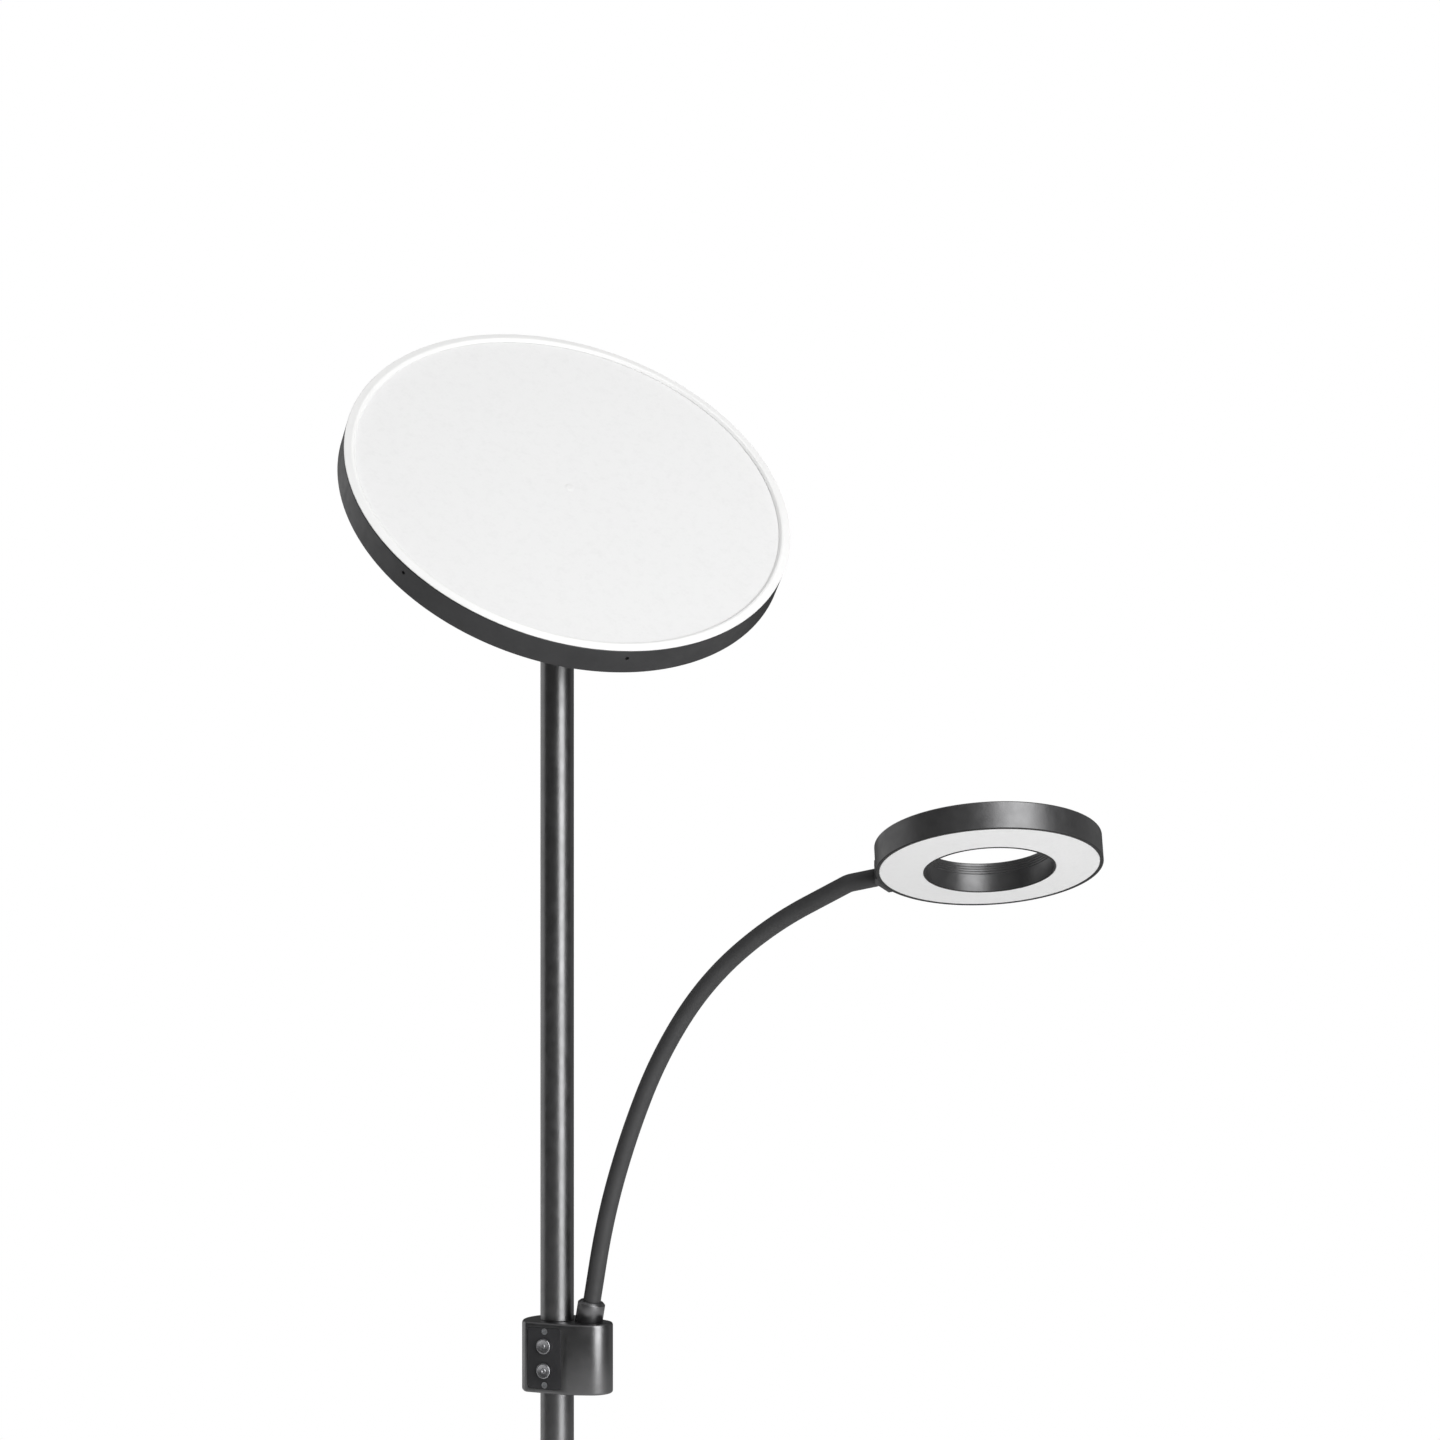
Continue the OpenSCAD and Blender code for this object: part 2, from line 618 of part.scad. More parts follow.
base_felt();
base_plate();
base_screws();
base_weight();
base_cover();
cord_grommet();
threaded_rod();
rod_washer();
rod_nut();
base_collar();
foot_coupler();
pole_section(pole_foot, section_len);  // pole_lower
pole_section(pole_foot + section_len, section_len);  // pole_middle
pole_section(pole_foot + 2 * section_len, section_len);  // pole_upper
pole_couplers();
pole_section(hub_top, pole_end - hub_top);  // pole_top
hub_body();
hub_cover();
hub_screws();
control_board();
push_switches();
button(button_pitch / 2);  // button_main
button(-button_pitch / 2);  // button_reading
neck_collar();
neck_root();
neck_link(0);  // neck_link_1
neck_link(1);  // neck_link_2
neck_link(2);  // neck_link_3
neck_link(3);  // neck_link_4
neck_link(4);  // neck_link_5
neck_tip();
neck_elbow();
ring_stem();
stem_clip();
ring_bracket();
roll_screw();
ring_bracket_screws();
ring_housing();
ring_led_board();
ring_leds();
ring_diffuser();
swivel_bush();
swivel_clip();
head_knuckle();
tilt_bolt();
tilt_nut();
tilt_washers();
tilt_bracket();
bracket_rivets();
head_pan();
head_led_board();
head_leds();
head_spacer();
head_diffuser();
head_bezel();
rim_screws();
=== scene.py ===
import json
import math

import bmesh
import bpy
import numpy as np
from mathutils import Matrix, Vector


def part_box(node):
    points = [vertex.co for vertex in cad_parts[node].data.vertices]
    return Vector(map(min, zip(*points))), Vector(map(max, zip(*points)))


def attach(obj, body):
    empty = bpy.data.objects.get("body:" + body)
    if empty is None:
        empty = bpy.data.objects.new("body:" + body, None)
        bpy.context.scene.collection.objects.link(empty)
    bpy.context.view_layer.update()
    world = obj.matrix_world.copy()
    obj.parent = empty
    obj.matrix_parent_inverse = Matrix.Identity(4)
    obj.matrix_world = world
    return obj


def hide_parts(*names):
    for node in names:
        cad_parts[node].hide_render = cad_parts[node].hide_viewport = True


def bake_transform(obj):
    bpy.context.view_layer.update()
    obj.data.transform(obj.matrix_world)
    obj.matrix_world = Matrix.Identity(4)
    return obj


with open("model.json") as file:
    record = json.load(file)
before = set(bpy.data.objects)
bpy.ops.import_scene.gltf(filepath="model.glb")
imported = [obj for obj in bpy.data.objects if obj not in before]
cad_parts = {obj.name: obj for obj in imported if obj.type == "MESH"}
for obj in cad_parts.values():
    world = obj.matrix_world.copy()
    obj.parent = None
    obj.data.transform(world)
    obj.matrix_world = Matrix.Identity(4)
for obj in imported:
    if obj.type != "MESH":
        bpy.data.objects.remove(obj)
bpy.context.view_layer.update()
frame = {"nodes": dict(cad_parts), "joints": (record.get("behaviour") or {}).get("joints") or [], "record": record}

MM = 0.001
UP = Vector((0, 0, 1))

# ---------------------------------------------------------------- places, read from the frame

JOINTS = {j["name"]: j for j in frame["joints"]}


def joint_place(name):
    return Vector(JOINTS[name]["pos_m"])


def joint_axis(name):
    return Vector(JOINTS[name]["axis"]).normalized()


def flat_normal(node):
    """The direction across a flat, disc-like CAD node."""
    points = np.array([v.co for v in frame["nodes"][node].data.vertices])
    spread = np.linalg.svd(points - points.mean(0), full_matrices=False)[2]
    return Vector(spread[2]).normalized()


def axes(origin, z_axis, x_hint):
    """A local frame: Z along z_axis, and X as near x_hint as it can be."""
    z = z_axis.normalized()
    y = z.cross(x_hint).normalized()
    x = y.cross(z)
    turn = Matrix((x, y, z)).transposed().to_4x4()
    return Matrix.Translation(origin) @ turn


pivot = joint_place("head_tilt")
tilt_axis = joint_axis("head_tilt")
level_turn = math.radians(-JOINTS["head_tilt"]["range_deg"][0])
face_normal = Matrix.Rotation(level_turn, 3, tilt_axis) @ UP
head_place = axes(pivot, face_normal, tilt_axis.cross(face_normal))
knuckle_place = axes(pivot, UP, tilt_axis.cross(UP))

ring_axis = joint_axis("ring_roll")
ring_up = flat_normal("ring_leds")
ring_up = ring_up if ring_up.z > 0 else -ring_up
ring_place = axes(joint_place("ring_roll"), ring_up, ring_axis)

world_place = Matrix.Identity(4)

pole_low, pole_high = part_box("pole_top")
pole_r = (pole_high.x - pole_low.x) / 2

# ---------------------------------------------------------------- materials


def new_material(name):
    material = bpy.data.materials.new(name)
    material.use_nodes = True
    tree = material.node_tree
    return material, tree, tree.nodes["Principled BSDF"]


def add(tree, kind, **values):
    node = tree.nodes.new(kind)
    for key, value in values.items():
        setattr(node, key, value)
    return node


def noise(tree, scale, detail=3.0, stretch=(1, 1, 1)):
    """Noise in the piece's own space; scale is in cycles a metre."""
    where = add(tree, "ShaderNodeTexCoord")
    mapping = add(tree, "ShaderNodeMapping")
    mapping.inputs["Scale"].default_value = stretch
    tree.links.new(where.outputs["Object"], mapping.inputs["Vector"])
    texture = add(tree, "ShaderNodeTexNoise")
    texture.inputs["Scale"].default_value = scale
    texture.inputs["Detail"].default_value = detail
    tree.links.new(mapping.outputs["Vector"], texture.inputs["Vector"])
    return texture.outputs["Fac"]


def spread(tree, value, low, high):
    """Maps a texture's usual range, 0.3 to 0.7, to the range from low to high."""
    node = add(tree, "ShaderNodeMapRange")
    node.inputs["From Min"].default_value = 0.3
    node.inputs["From Max"].default_value = 0.7
    node.inputs["To Min"].default_value = low
    node.inputs["To Max"].default_value = high
    tree.links.new(value, node.inputs["Value"])
    return node.outputs["Result"]


def tint(tree, value, dark, light):
    """Mixes two colours by a texture."""
    node = add(tree, "ShaderNodeMix", data_type="RGBA")
    node.inputs["A"].default_value = (*dark, 1)
    node.inputs["B"].default_value = (*light, 1)
    tree.links.new(value, node.inputs["Factor"])
    return node.outputs["Result"]


def bump(tree, shader, heights, distance):
    """Adds up textures as one bump; heights is a list of (texture, weight)."""
    total = None
    for value, weight in heights:
        share = add(tree, "ShaderNodeMath", operation="MULTIPLY")
        share.inputs[1].default_value = weight
        tree.links.new(value, share.inputs[0])
        if total is None:
            total = share.outputs[0]
        else:
            both = add(tree, "ShaderNodeMath", operation="ADD")
            tree.links.new(total, both.inputs[0])
            tree.links.new(share.outputs[0], both.inputs[1])
            total = both.outputs[0]
    node = add(tree, "ShaderNodeBump")
    node.inputs["Distance"].default_value = distance
    tree.links.new(total, node.inputs["Height"])
    tree.links.new(node.outputs["Normal"], shader.inputs["Normal"])


def coated(name, dark, light, roughness, metallic=0.0):
    """Powder coat or paint: an orange-peel bump, soft mottling and uneven gloss."""
    material, tree, shader = new_material(name)
    mottle = noise(tree, 45, 4)
    tree.links.new(tint(tree, spread(tree, mottle, 0, 1), dark, light), shader.inputs["Base Color"])
    gloss = noise(tree, 160, 3)
    tree.links.new(spread(tree, gloss, roughness - 0.04, roughness + 0.05), shader.inputs["Roughness"])
    bump(tree, shader, [(noise(tree, 1400, 2), 1.0), (noise(tree, 320, 2), 0.6)], 0.00004)
    shader.inputs["Metallic"].default_value = metallic
    return material


def moulded(name, dark, light, roughness, grain=900, depth=0.00003):
    """Moulded plastic: a fine spark texture and a faint flow mottle."""
    material, tree, shader = new_material(name)
    flow = noise(tree, 30, 3, (1, 1, 2))
    tree.links.new(tint(tree, spread(tree, flow, 0, 1), dark, light), shader.inputs["Base Color"])
    tree.links.new(spread(tree, noise(tree, 300, 2), roughness - 0.04, roughness + 0.04),
                   shader.inputs["Roughness"])
    bump(tree, shader, [(noise(tree, grain, 3), 1.0)], depth)
    return material


def brushed(name, color, roughness, stretch=(1, 1, 40)):
    """Turned or drawn metal: streaks across the stretch direction."""
    material, tree, shader = new_material(name)
    streak = noise(tree, 260, 4, stretch)
    darker = tuple(c * 0.82 for c in color)
    tree.links.new(tint(tree, spread(tree, streak, 0, 1), darker, color), shader.inputs["Base Color"])
    tree.links.new(spread(tree, streak, roughness - 0.07, roughness + 0.08), shader.inputs["Roughness"])
    bump(tree, shader, [(streak, 1.0)], 0.00002)
    shader.inputs["Metallic"].default_value = 1.0
    return material


def cells(tree, scale):
    """Round cells, as the distance from each one's middle."""
    where = add(tree, "ShaderNodeTexCoord")
    texture = add(tree, "ShaderNodeTexVoronoi", feature="F1")
    texture.inputs["Scale"].default_value = scale
    tree.links.new(where.outputs["Object"], texture.inputs["Vector"])
    return texture.outputs["Distance"]


def diffuser(name, dark, light, roughness, cell_scale, glow):
    """Opal sheet with a micro-prism surface: small cells that scatter light unevenly, and a faint glow."""
    material, tree, shader = new_material(name)
    facets = cells(tree, cell_scale)
    cloud = noise(tree, 160, 5)
    mixed = add(tree, "ShaderNodeMath", operation="MULTIPLY_ADD")
    tree.links.new(facets, mixed.inputs[0])
    mixed.inputs[1].default_value = 0.35
    tree.links.new(cloud, mixed.inputs[2])
    tree.links.new(tint(tree, spread(tree, mixed.outputs[0], 0, 1), dark, light), shader.inputs["Base Color"])
    tree.links.new(spread(tree, noise(tree, 500, 2), roughness - 0.05, roughness + 0.05),
                   shader.inputs["Roughness"])
    bump(tree, shader, [(facets, 1.0), (noise(tree, 2200, 2), 0.4)], 0.00005)
    shader.inputs["Emission Color"].default_value = (1, 1, 1, 1)
    shader.inputs["Emission Strength"].default_value = glow
    return material


def felt_material():
    """Pressed felt: long fibres, matted and uneven."""
    material, tree, shader = new_material("felt")
    fibres = noise(tree, 1500, 6, (1, 1, 0.3))
    tree.links.new(tint(tree, spread(tree, fibres, 0, 1), (0.008, 0.008, 0.008), (0.045, 0.045, 0.045)),
                   shader.inputs["Base Color"])
    bump(tree, shader, [(fibres, 1.0), (noise(tree, 120, 3), 0.8)], 0.0004)
    shader.inputs["Roughness"].default_value = 0.95
    shader.inputs["Sheen Weight"].default_value = 0.5
    return material


def cast_material():
    """Rough cast iron."""
    material, tree, shader = new_material("iron")
    grains = noise(tree, 500, 6)
    tree.links.new(tint(tree, spread(tree, grains, 0, 1), (0.09, 0.085, 0.08), (0.22, 0.21, 0.2)),
                   shader.inputs["Base Color"])
    bump(tree, shader, [(grains, 1.0), (noise(tree, 60, 4), 1.5)], 0.0005)
    shader.inputs["Metallic"].default_value = 0.6
    shader.inputs["Roughness"].default_value = 0.75
    return material


# The pole, hub and base have a satin gunmetal finish, the ring a darker one, and the head charcoal
GUNMETAL_DARK = (0.170, 0.170, 0.172)
GUNMETAL_LIGHT = (0.200, 0.200, 0.203)
RING_DARK = (0.115, 0.115, 0.117)
RING_LIGHT = (0.135, 0.135, 0.137)
CHARCOAL_DARK = (0.072, 0.072, 0.074)
CHARCOAL_LIGHT = (0.084, 0.084, 0.086)

MATERIALS = {
    "stand_metal": coated("stand_metal", GUNMETAL_DARK, GUNMETAL_LIGHT, 0.33, metallic=1.0),
    "head_metal": coated("head_metal", CHARCOAL_DARK, CHARCOAL_LIGHT, 0.42, metallic=0.85),
    "ring_metal": coated("ring_metal", RING_DARK, RING_LIGHT, 0.37, metallic=0.85),
    "plate_metal": coated("plate_metal", (0.02, 0.02, 0.02), (0.03, 0.03, 0.03), 0.5),
    "iron": cast_material(),
    "felt": felt_material(),
    "grommet_rubber": moulded("grommet_rubber", (0.012, 0.012, 0.012), (0.022, 0.022, 0.022), 0.7),
    "zinc_steel": brushed("zinc_steel", (0.55, 0.56, 0.58), 0.36),
    "ring_edge": coated("ring_edge", (0.010, 0.010, 0.010), (0.014, 0.014, 0.014), 0.6),
    "black_screw": brushed("black_screw", (0.03, 0.03, 0.032), 0.45),
    "cover_plastic": moulded("cover_plastic", (0.018, 0.018, 0.02), (0.028, 0.028, 0.03), 0.48),
    "button_metal": brushed("button_metal", (0.5, 0.5, 0.52), 0.3, (1, 40, 1)),
    "board": moulded("board", (0.008, 0.09, 0.035), (0.014, 0.14, 0.055), 0.35, 1600),
    "switch_plastic": moulded("switch_plastic", (0.015, 0.015, 0.015), (0.03, 0.03, 0.03), 0.5),
    "neck_sleeve": moulded("neck_sleeve", (0.037, 0.037, 0.038), (0.044, 0.044, 0.045), 0.6, 1500,
                           0.00002),
    "led_board": moulded("led_board", (0.8, 0.81, 0.8), (0.87, 0.88, 0.87), 0.4),
    "led": moulded("led", (0.75, 0.55, 0.1), (0.85, 0.68, 0.18), 0.3),
    "white_plastic": moulded("white_plastic", (0.77, 0.77, 0.765), (0.80, 0.80, 0.795), 0.42, 700,
                             0.00002),
    "bush_plastic": moulded("bush_plastic", (0.014, 0.014, 0.014), (0.024, 0.024, 0.024), 0.45),
    "head_opal": diffuser("head_opal", (0.69, 0.69, 0.69), (0.72, 0.72, 0.72), 0.42, 420, 0.02),
    "ring_opal": diffuser("ring_opal", (0.755, 0.755, 0.755), (0.785, 0.785, 0.785), 0.42, 420, 0.145),
}

for row in frame["record"]["subparts"]:
    mesh = frame["nodes"][row["node"]].data
    mesh.materials.clear()
    mesh.materials.append(MATERIALS[row["material_slot"]])

# ---------------------------------------------------------------- mesh tools


def piece(name, verts, faces, slot, replaced=()):
    """Makes an object, gives it its material and hides the CAD nodes that it stands for."""
    mesh = bpy.data.meshes.new(name)
    mesh.from_pydata([tuple(v) for v in verts], [], faces)
    mesh.validate()
    fix = bmesh.new()
    fix.from_mesh(mesh)
    bmesh.ops.remove_doubles(fix, verts=fix.verts, dist=1e-7)
    bmesh.ops.recalc_face_normals(fix, faces=fix.faces)
    fix.to_mesh(mesh)
    fix.free()
    mesh.polygons.foreach_set("use_smooth", [True] * len(mesh.polygons))
    mesh.materials.append(MATERIALS[slot])
    obj = bpy.data.objects.new(name, mesh)
    bpy.context.scene.collection.objects.link(obj)
    if replaced:
        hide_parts(*replaced)
    return obj


def fillet(corner, before, after, radius, steps=6):
    """Points of an arc that rounds a corner between its two neighbours."""
    corner, before, after = Vector(corner), Vector(before), Vector(after)
    back, ahead = before - corner, after - corner
    half = back.angle(ahead) / 2
    # An arc takes less than half of each side, so that two arcs on a side can't cross
    reach = min(radius / math.tan(half), back.length * 0.49, ahead.length * 0.49)
    radius = reach * math.tan(half)
    start = corner + back.normalized() * reach
    end = corner + ahead.normalized() * reach
    middle = (back.normalized() + ahead.normalized()).normalized()
    centre = corner + middle * (radius / math.sin(half))
    a, b = start - centre, end - centre
    swing = math.atan2(a.x * b.y - a.y * b.x, a.dot(b))
    points = []
    for i in range(steps + 1):
        t = swing * i / steps
        points.append(centre + Vector((a.x * math.cos(t) - a.y * math.sin(t),
                                       a.x * math.sin(t) + a.y * math.cos(t))))
    return points


# Longer than any flat, so that outline() adds no point beside an arc
NO_SUPPORT = 1


def outline(corners, closed=True, support=0.4 * MM):
    """Rounds each corner of (x, y, radius), and adds a point beside each arc to keep flats flat."""
    count = len(corners)
    points = []
    for i, (x, y, radius) in enumerate(corners):
        inner = closed or 0 < i < count - 1
        if not inner or radius <= 0:
            points.append(Vector((x, y)))
            continue
        before, after = corners[i - 1], corners[(i + 1) % count]
        arc = fillet((x, y), before[:2], after[:2], radius)
        into = arc[0] - Vector(before[:2])
        out = Vector(after[:2]) - arc[-1]
        if into.length > 3 * support:
            points.append(arc[0] - into.normalized() * support)
        points += arc
        if out.length > 3 * support:
            points.append(arc[-1] + out.normalized() * support)
    return points


def scaled(corners):
    """Corners (x, y, radius) given in millimetres, in metres."""
    return [(x * MM, y * MM, radius * MM) for x, y, radius in corners]


def rounded_box(half_x, half_y, radius):
    """A rectangle with round corners, as an outline."""
    corners = [(half_x, -half_y, radius), (half_x, half_y, radius), (-half_x, half_y, radius),
               (-half_x, -half_y, radius)]
    return outline(corners, support=NO_SUPPORT)


def lathe(name, profile, place, slot, replaced, segments, closed=True):
    """Turns a profile of (radius, height) about the local Z. An open profile starts and ends on the axis."""
    verts, faces = [], []
    for i in range(segments):
        turn = 2 * math.pi * i / segments
        c, s = math.cos(turn), math.sin(turn)
        verts += [place @ Vector((p[0] * c, p[0] * s, p[1])) for p in profile]
    count = len(profile)
    last = count if closed else count - 1
    for i in range(segments):
        a, b = i * count, ((i + 1) % segments) * count
        for j in range(last):
            k = (j + 1) % count
            ring = [a + j, a + k, b + k, b + j]
            if profile[j][0] < 1e-9:
                ring = [a + j, a + k, b + k]
            elif profile[k][0] < 1e-9:
                ring = [a + j, a + k, b + j]
            faces.append(ring)
    return piece(name, verts, faces, slot, replaced)


def sweep(name, path, section, slot, replaced):
    """A round rod along a path in the arm's plane; section gives its radius at each point."""
    verts, faces = [], []
    sideways = Vector((0, 1, 0))
    sides = 40
    count = len(path)
    for i, point in enumerate(path):
        tangent = (path[min(i + 1, count - 1)] - path[max(i - 1, 0)]).normalized()
        across = tangent.cross(sideways).normalized()
        for k in range(sides):
            turn = 2 * math.pi * k / sides
            verts.append(point + (across * math.cos(turn) + sideways * math.sin(turn)) * section[i])
    for i in range(count - 1):
        for k in range(sides):
            m = (k + 1) % sides
            faces.append([i * sides + k, i * sides + m, (i + 1) * sides + m, (i + 1) * sides + k])
    faces.append(list(range(sides))[::-1])
    faces.append([(count - 1) * sides + k for k in range(sides)])
    return piece(name, verts, faces, slot, replaced)


def prism(name, points, low, high, place, slot, replaced=(), bevel=0):
    """Extrudes an outline along the local Z and rounds its edges."""
    count = len(points)
    verts = [place @ Vector((p[0], p[1], low)) for p in points]
    verts += [place @ Vector((p[0], p[1], high)) for p in points]
    faces = [list(range(count))[::-1], list(range(count, 2 * count))]
    faces += [[i, (i + 1) % count, count + (i + 1) % count, count + i] for i in range(count)]
    obj = piece(name, verts, faces, slot, replaced)
    if bevel:
        edge = obj.modifiers.new("edge", "BEVEL")
        edge.width = bevel
        edge.segments = 3
        edge.limit_method = "ANGLE"
        edge.angle_limit = math.radians(35)
        apply_modifiers(obj)
        sharpen(obj, 50)
    return obj


def cut_away(obj, cutter):
    """Cuts one piece's shape out of another, and removes the cutter."""
    cut = obj.modifiers.new("cut", "BOOLEAN")
    cut.object = cutter
    cut.solver = "EXACT"
    apply_modifiers(obj)
    bpy.data.objects.remove(cutter)
    sharpen(obj, 35)


def drill(obj, place, radius, low, high):
    """Cuts a round hole along the local Z of place."""
    profile = [Vector((0, low)), Vector((radius, low)), Vector((radius, high)), Vector((0, high))]
    cut_away(obj, lathe("cutter", profile, place, "zinc_steel", (), 48, closed=False))


def sharpen(obj, angle):
    """Smooth shading, with edges over the angle left sharp."""
    obj.data.polygons.foreach_set("use_smooth", [True] * len(obj.data.polygons))
    obj.data.set_sharp_from_angle(angle=math.radians(angle))


def apply_modifiers(obj):
    """Replaces the mesh with the result of its modifiers."""
    graph = bpy.context.evaluated_depsgraph_get()
    result = bpy.data.meshes.new_from_object(obj.evaluated_get(graph))
    obj.modifiers.clear()
    obj.data = result


# ---------------------------------------------------------------- pole and base

POLE_WALL = 1.2 * MM
POLE_EDGE = 0.5 * MM
COVER_WALL = 1.5 * MM
COVER_EDGE = 4 * MM
ROD_HOLE_R = 5.1 * MM
COLLAR_R = 17 * MM
COLLAR_FLOOR = 4 * MM
GLAND_HOLE_R = 5.05 * MM


def build_poles():
    bore = pole_r - POLE_WALL
    for node in ("pole_lower", "pole_middle", "pole_upper", "pole_top"):
        low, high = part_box(node)
        profile = outline([
            (bore, low.z, 0), (pole_r, low.z, POLE_EDGE), (pole_r, high.z, POLE_EDGE), (bore, high.z, 0),
        ])
        tube = lathe(node + "_tube", profile, world_place, "stand_metal", [node], 96)
        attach(tube, "stand")


def build_base():
    low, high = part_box("base_cover")
    radius = (high.x - low.x) / 2
    inside = radius - COVER_WALL
    ceiling = high.z - COVER_WALL
    profile = outline([
        (ROD_HOLE_R, high.z, 0), (radius, high.z, COVER_EDGE), (radius, low.z, 0.4 * MM),
        (inside, low.z, 0.4 * MM), (inside, ceiling, COVER_EDGE - COVER_WALL), (ROD_HOLE_R, ceiling, 0),
    ])
    shell = lathe("base_shell", profile, world_place, "stand_metal", ["base_cover"], 256)
    gland_low, gland_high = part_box("cord_grommet")
    middle = (gland_low + gland_high) / 2
    gland_place = axes(middle, Vector((0, 1, 0)), UP)
    drill(shell, gland_place, GLAND_HOLE_R, -20 * MM, 20 * MM)
    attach(shell, "stand")

    low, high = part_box("base_collar")
    floor_z = low.z + COLLAR_FLOOR
    profile = outline([
        (5 * MM, low.z, 0), (COLLAR_R, low.z, 0.5 * MM), (COLLAR_R, high.z, 2 * MM),
        (pole_r, high.z, 0.5 * MM), (pole_r, floor_z, 0), (5 * MM, floor_z, 0),
    ])
    collar = lathe("foot_collar", profile, world_place, "stand_metal", ["base_collar"], 128)
    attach(collar, "stand")

    low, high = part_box("base_felt")
    radius = (high.x - low.x) / 2
    corners = [(0, low.z, 0), (radius, low.z, 0.8 * MM), (radius, high.z, 0.3 * MM), (0, high.z, 0)]
    profile = outline(corners, closed=False)
    felt = lathe("felt_disc", profile, world_place, "felt", ["base_felt"], 160, closed=False)
    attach(felt, "stand")

    # A flange on each side of the cover's wall
    corners = [(3.8, -4.75, 0.8), (3.8, 4.75, 0.8), (6.2, 4.75, 0.9), (6.2, 2.75, 0.4), (5, 2.75, 0),
               (5, 0.75, 0), (6.2, 0.75, 0.3), (6.2, -1.25, 0.3), (5, -1.25, 0), (5, -4.75, 0.5)]
    gland = lathe("inlet_grommet", outline(scaled(corners)), gland_place, "grommet_rubber",
                  ["cord_grommet"], 64)
    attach(gland, "stand")


# ---------------------------------------------------------------- hub


# The hub's outline is two round ends, joined by tangents, with a flat front. Its CAD node also has a
# spigot at each end, inside the pole's tubes.
HUB_POLE_END_R = 23 * MM
HUB_ARM_END_R = 13.5 * MM
HUB_REACH = 26 * MM
HUB_FACE = 18 * MM
HUB_SPIGOT = 25 * MM
PLATE_DEPTH = 2 * MM
BUTTON_UP = 8 * MM
COVER_SCREW_UP = 17.5 * MM
COLLAR_DEPTH = 14 * MM


def hub_outline():
    lean = math.acos((HUB_POLE_END_R - HUB_ARM_END_R) / HUB_REACH)
    flat = math.asin(HUB_FACE / HUB_POLE_END_R)
    points = []
    steps = 28
    for i in range(steps + 1):
        turn = lean + (math.pi + flat - lean) * i / steps
        points.append((HUB_POLE_END_R * math.cos(turn), HUB_POLE_END_R * math.sin(turn)))
    # The tangent on the arm's side meets the flat front here
    start = Vector((HUB_POLE_END_R * math.cos(lean), -HUB_POLE_END_R * math.sin(lean)))
    end = Vector((HUB_REACH + HUB_ARM_END_R * math.cos(lean), -HUB_ARM_END_R * math.sin(lean)))
    meet = start.lerp(end, (-HUB_FACE - start.y) / (end.y - start.y))
    points.append((meet.x, -HUB_FACE))
    for i in range(steps + 1):
        turn = -lean + 2 * lean * i / steps
        points.append((HUB_REACH + HUB_ARM_END_R * math.cos(turn), HUB_ARM_END_R * math.sin(turn)))
    return points


def build_hub():
    low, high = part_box("hub_body")
    bottom, top = low.z + HUB_SPIGOT, high.z - HUB_SPIGOT
    body = prism("hub_casting", hub_outline(), bottom, top, world_place, "stand_metal", ["hub_body"],
                 1.6 * MM)
    middle = (bottom + top) / 2
    front = axes(Vector((0, -HUB_FACE, middle)), Vector((0, -1, 0)), Vector((1, 0, 0)))
    recess = rounded_box(12.55 * MM, 20.05 * MM, 2.5 * MM)
    cut_away(body, prism("cutter", recess, -PLATE_DEPTH, 2 * MM, front, "stand_metal"))
    cavity = rounded_box(10.5 * MM, 15 * MM, 1 * MM)
    cut_away(body, prism("cutter", cavity, -10.8 * MM, 0, front, "stand_metal"))
    drill(body, neck_place, 9 * MM, -COLLAR_DEPTH, 20 * MM)
    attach(body, "stand")

    plate = prism("hub_front", rounded_box(12.4 * MM, 19.9 * MM, 2.4 * MM), -PLATE_DEPTH, -0.02 * MM, front,
                  "cover_plastic", ["hub_cover"], 0.25 * MM)
    for side in (-1, 1):
        at_button = front @ Matrix.Translation((0, side * BUTTON_UP, 0))
        drill(plate, at_button, 5.1 * MM, -5 * MM, 5 * MM)
        at_screw = front @ Matrix.Translation((0, side * COVER_SCREW_UP, 0))
        drill(plate, at_screw, 2.2 * MM, -1 * MM, 5 * MM)
    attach(plate, "stand")

    # Each button has a dished top: the main one with a raised dot, the reading one with a raised ring
    for body_name, node, side, mark in (
        ("main_button", "button_main", 1, [(0, 1.75, 0), (1.1, 1.75, 0.2), (1.3, 1.5, 0)]),
        ("reading_button", "button_reading", -1, [(0, 1.45, 0), (0.8, 1.47, 0), (1.0, 1.72, 0.1),
                                                  (1.5, 1.72, 0.1), (1.7, 1.52, 0)]),
    ):
        corners = mark + [(3.2, 1.68, 0), (4.1, 2.0, 0.3), (5, 2.0, 0.5), (5, -2.3, 0), (6, -2.3, 0.2),
                          (6, -3.3, 0.2), (2, -3.3, 0), (2, -5, 0.2), (0, -5, 0)]
        profile = outline(scaled(corners), closed=False, support=0.0001)
        button = lathe(node + "_cap", profile, front @ Matrix.Translation((0, side * BUTTON_UP, 0)),
                       "button_metal", [node], 96, closed=False)
        sharpen(button, 45)
        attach(button, body_name)

    corners = [(5.85, -14, 0), (9, -14, 0), (9, 2, 0.4), (7.5, 3.5, 0.5), (5.85, 3.5, 0.3)]
    collar = lathe("neck_ferrule", outline(scaled(corners)), neck_place, "stand_metal", ["neck_collar"], 96)
    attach(collar, "stand")


# ---------------------------------------------------------------- gooseneck

NECK_JOINTS = ["neck_bend", "neck_sway", "neck_bend_middle", "neck_sway_upper", "neck_bend_upper"]
NECK_BODIES = ["stand", "neck_1", "neck_2", "neck_3", "neck_4", "neck_5"]
